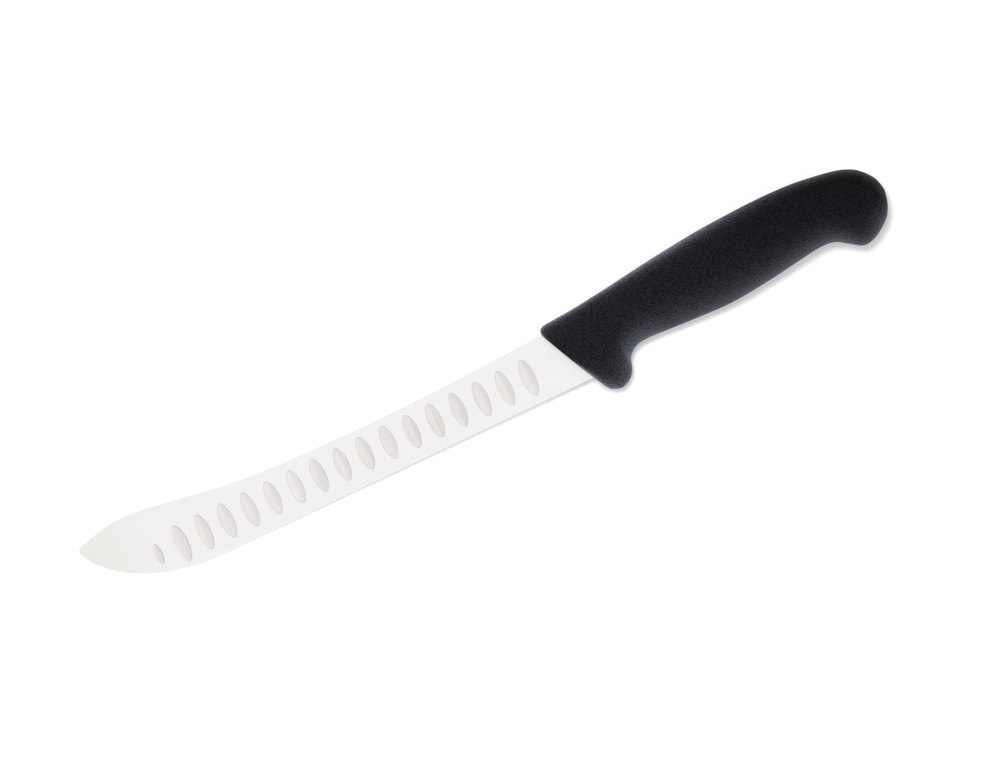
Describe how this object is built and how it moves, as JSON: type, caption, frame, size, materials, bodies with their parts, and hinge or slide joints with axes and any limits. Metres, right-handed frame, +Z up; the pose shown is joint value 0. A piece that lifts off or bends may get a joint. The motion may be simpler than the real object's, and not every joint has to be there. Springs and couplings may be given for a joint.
{
  "type": "butcher knife",
  "caption": "Butcher knife lying on its side: broad-nosed steel blade with ground hollows, hidden tang, moulded black handle with finger guard and hooked butt.",
  "frame": {"origin": "centre of the knife's bounding box, on the table, with the knife lying on its side as it comes to rest", "axes": "+X from the tip of the blade to the butt of the handle, +Y from the cutting edge to the spine, +Z up from the table"},
  "size_m": [0.3432, 0.0436, 0.0251],
  "materials": {
    "steel": "pale satin-ground stainless steel, fine lines in the ground hollows, bright honed edge",
    "core": "hard dark moulding, not seen on the finished knife",
    "grip": "black moulded plastic with a fine leather grain and a soft sheen"
  },
  "bodies": {
    "root": {"blade": "steel", "handle_core": "core", "handle_grip": "grip"}
  },
  "joints": []
}
